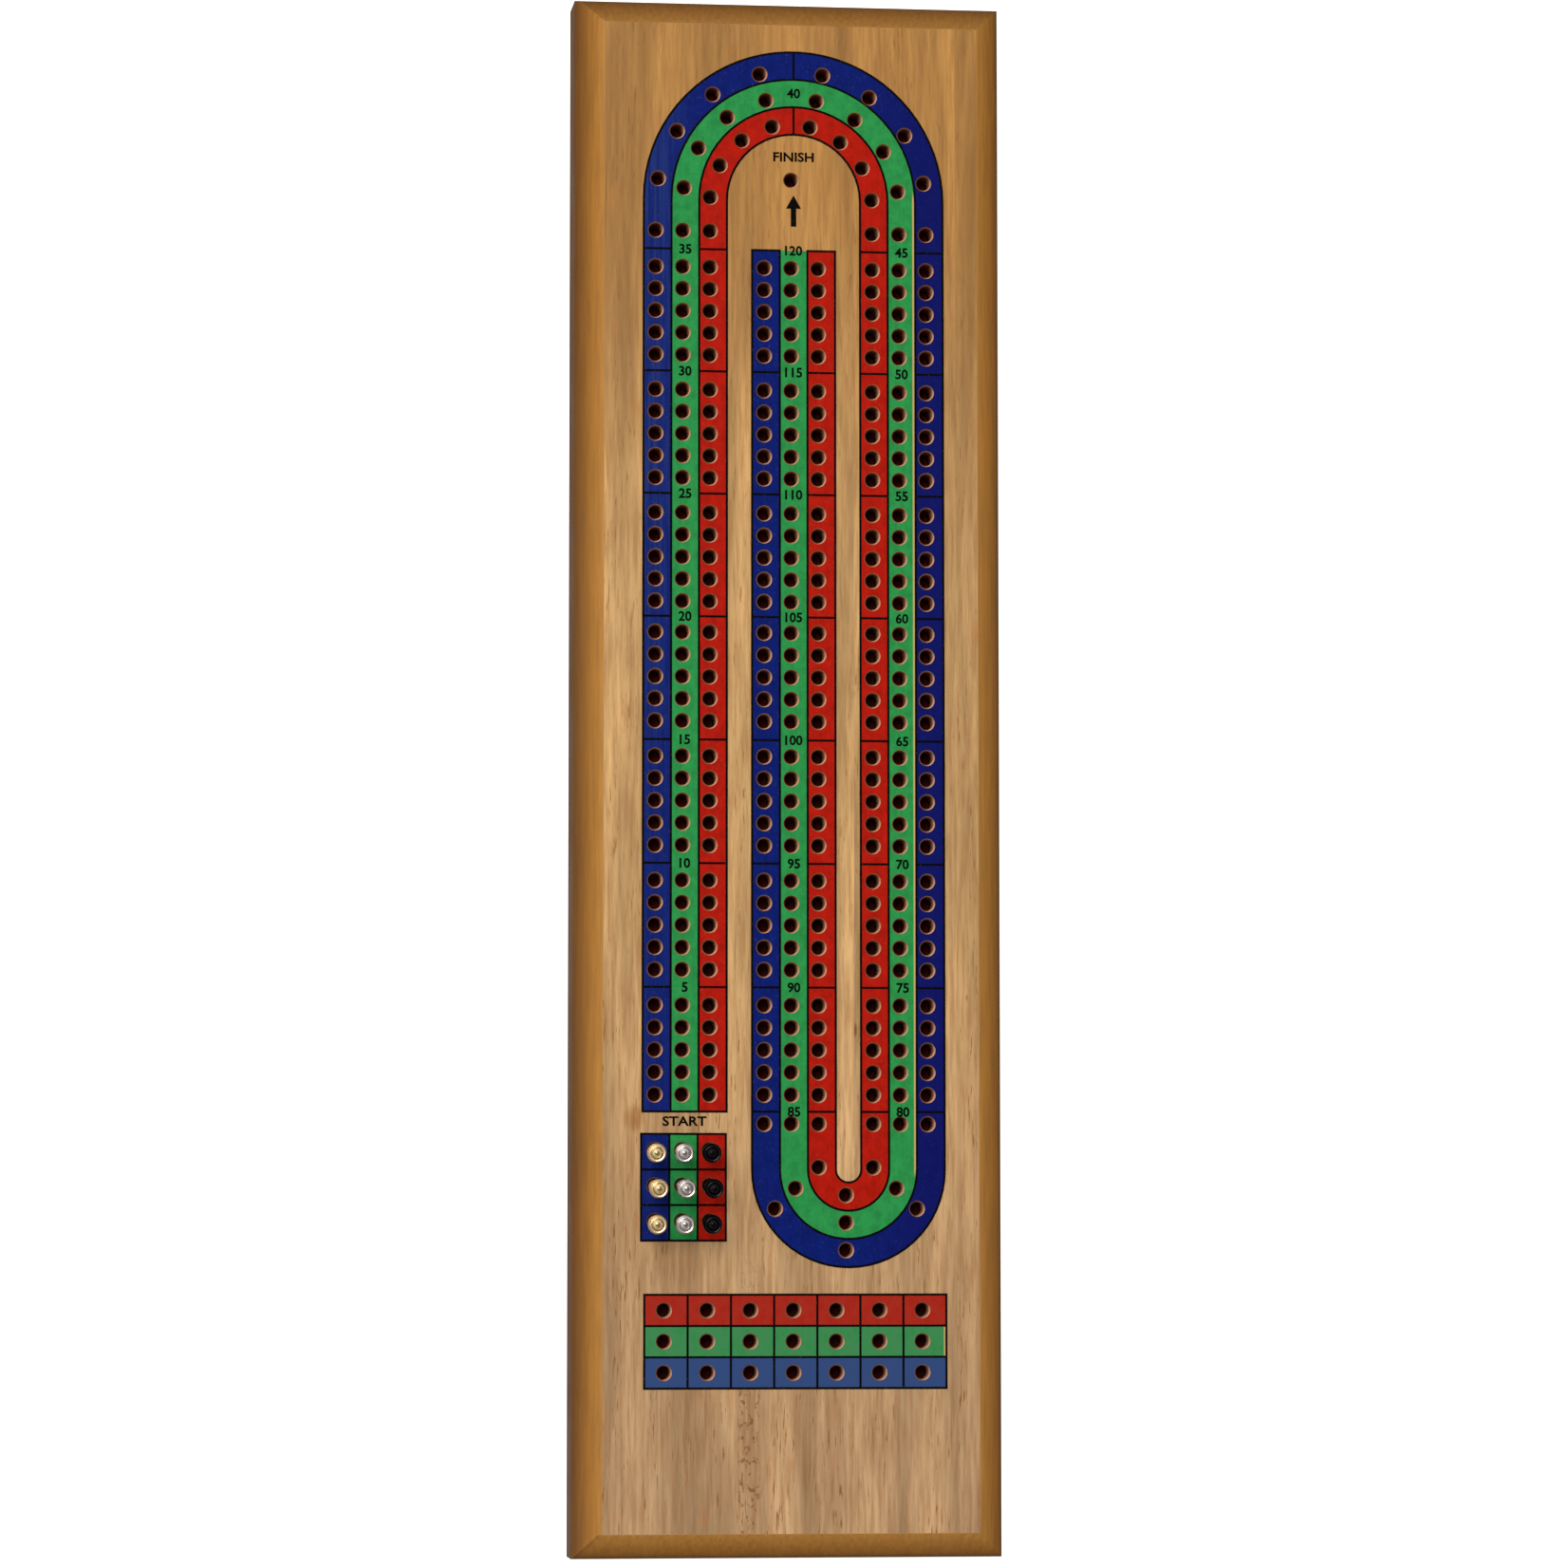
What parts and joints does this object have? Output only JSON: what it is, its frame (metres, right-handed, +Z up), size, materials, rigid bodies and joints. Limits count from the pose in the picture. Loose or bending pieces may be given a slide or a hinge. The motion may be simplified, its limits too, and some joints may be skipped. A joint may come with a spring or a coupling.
{
  "type": "cribbage board",
  "caption": "Flat bevelled hardwood cribbage board with a printed three-lane track, drilled peg holes, metal pegs and an under-board peg store with a sliding door.",
  "frame": {"origin": "middle of the board's underside", "axes": "+X across the board, +Y along it from the start end to the finish end, +Z up out of the printed face"},
  "size_m": [0.1016, 0.3682, 0.0301],
  "materials": {
    "board_wood": "satin lacquered light hardwood, toned darker along its edges",
    "blue_ink": "screen-printed ink, satin",
    "green_ink": "screen-printed ink, satin",
    "red_ink": "screen-printed ink, satin",
    "black_ink": "screen-printed ink, satin",
    "gold_plate": "polished",
    "nickel_plate": "polished",
    "black_nickel": "polished dark plating",
    "door_steel": "brushed along its length"
  },
  "bodies": {
    "board": {"left_stave": "board_wood", "centre_stave": "board_wood", "right_stave": "board_wood", "edge_stave": "board_wood", "blue_ink": "blue_ink", "green_ink": "green_ink", "red_ink": "red_ink", "black_ink": "black_ink"},
    "door": {"store_door": "door_steel"},
    "gold_peg_1": {"gold_peg_1": "gold_plate"},
    "gold_peg_2": {"gold_peg_2": "gold_plate"},
    "gold_peg_3": {"gold_peg_3": "gold_plate"},
    "silver_peg_1": {"silver_peg_1": "nickel_plate"},
    "silver_peg_2": {"silver_peg_2": "nickel_plate"},
    "silver_peg_3": {"silver_peg_3": "nickel_plate"},
    "black_peg_1": {"black_peg_1": "black_nickel"},
    "black_peg_2": {"black_peg_2": "black_nickel"},
    "black_peg_3": {"black_peg_3": "black_nickel"}
  },
  "joints": [
    {"name": "door_slide", "type": "slide", "parent": "board", "child": "door", "axis": [0, -1, 0], "range_m": [0, 0.07]},
    {"name": "gold_peg_1_lift", "type": "slide", "parent": "board", "child": "gold_peg_1", "axis": [-0.0314, -0.0698, 0.9971], "range_m": [0, 0.025]},
    {"name": "gold_peg_2_lift", "type": "slide", "parent": "board", "child": "gold_peg_2", "axis": [0.0105, -0.0698, 0.9975], "range_m": [0, 0.025]},
    {"name": "gold_peg_3_lift", "type": "slide", "parent": "board", "child": "gold_peg_3", "axis": [-0.0157, -0.0698, 0.9974], "range_m": [0, 0.025]},
    {"name": "silver_peg_1_lift", "type": "slide", "parent": "board", "child": "silver_peg_1", "axis": [-0.0314, -0.0698, 0.9971], "range_m": [0, 0.025]},
    {"name": "silver_peg_2_lift", "type": "slide", "parent": "board", "child": "silver_peg_2", "axis": [0.0105, -0.0698, 0.9975], "range_m": [0, 0.025]},
    {"name": "silver_peg_3_lift", "type": "slide", "parent": "board", "child": "silver_peg_3", "axis": [-0.0157, -0.0698, 0.9974], "range_m": [0, 0.025]},
    {"name": "black_peg_1_lift", "type": "slide", "parent": "board", "child": "black_peg_1", "axis": [-0.0314, -0.0698, 0.9971], "range_m": [0, 0.025]},
    {"name": "black_peg_2_lift", "type": "slide", "parent": "board", "child": "black_peg_2", "axis": [0.0105, -0.0698, 0.9975], "range_m": [0, 0.025]},
    {"name": "black_peg_3_lift", "type": "slide", "parent": "board", "child": "black_peg_3", "axis": [-0.0157, -0.0698, 0.9974], "range_m": [0, 0.025]}
  ]
}
